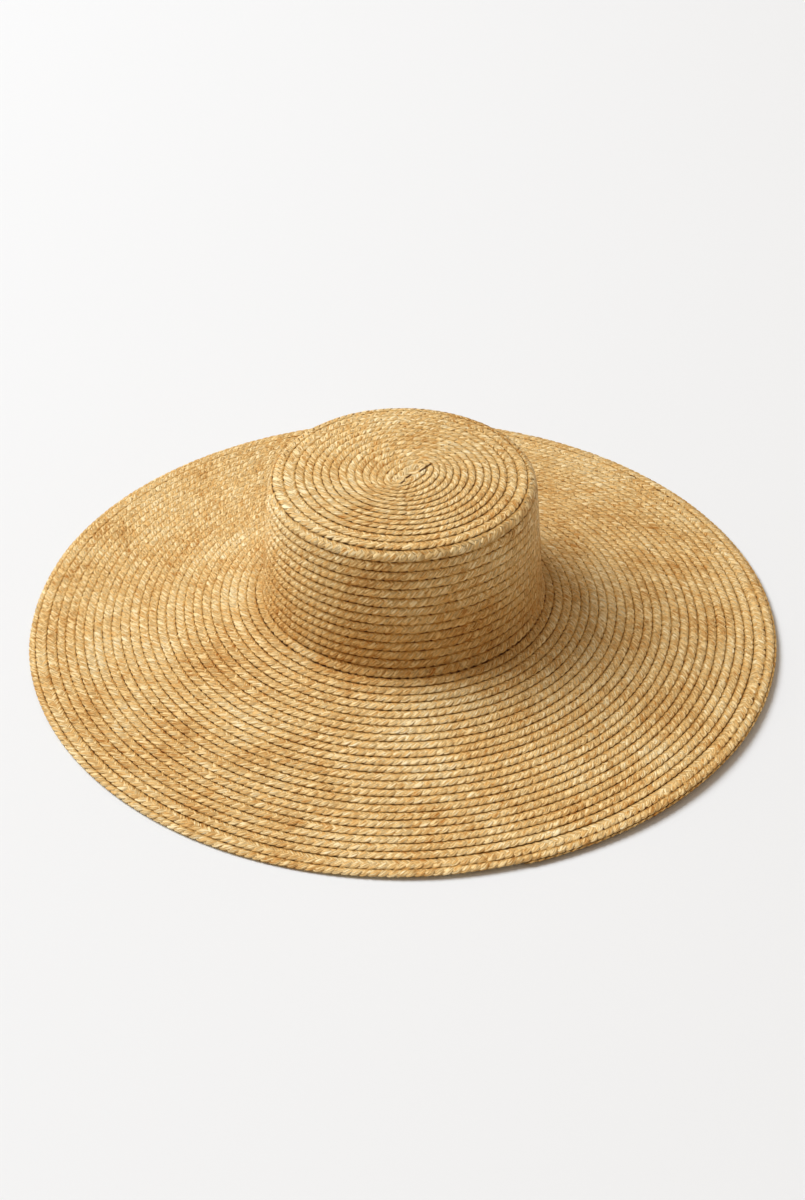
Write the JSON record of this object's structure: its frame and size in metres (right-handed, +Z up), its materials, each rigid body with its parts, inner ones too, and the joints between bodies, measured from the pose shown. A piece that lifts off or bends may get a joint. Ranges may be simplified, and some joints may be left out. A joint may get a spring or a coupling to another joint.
{
  "type": "wide-brimmed raffia sun hat",
  "caption": "Wide-brimmed sun hat of raffia braid sewn in a spiral, with a low flat-topped crown and a gently sloping brim, hollow and open underneath to take a head.",
  "frame": {"origin": "on the surface that the hat rests on, under the middle of the crown", "axes": "+Z up through the middle of the crown, -Y towards the hat's front, +X to the right seen from the front"},
  "size_m": [0.4996, 0.4996, 0.1211],
  "materials": {
    "raffia_braid": "natural raffia straw plaited into braid, honey-tan with paler and browner strands, dry with a faint satin sheen along the fibres"
  },
  "bodies": {
    "root": {"crown_tip": "raffia_braid", "crown_edge": "raffia_braid", "crown_side": "raffia_braid", "brim": "raffia_braid", "rim_braid": "raffia_braid"}
  },
  "joints": []
}
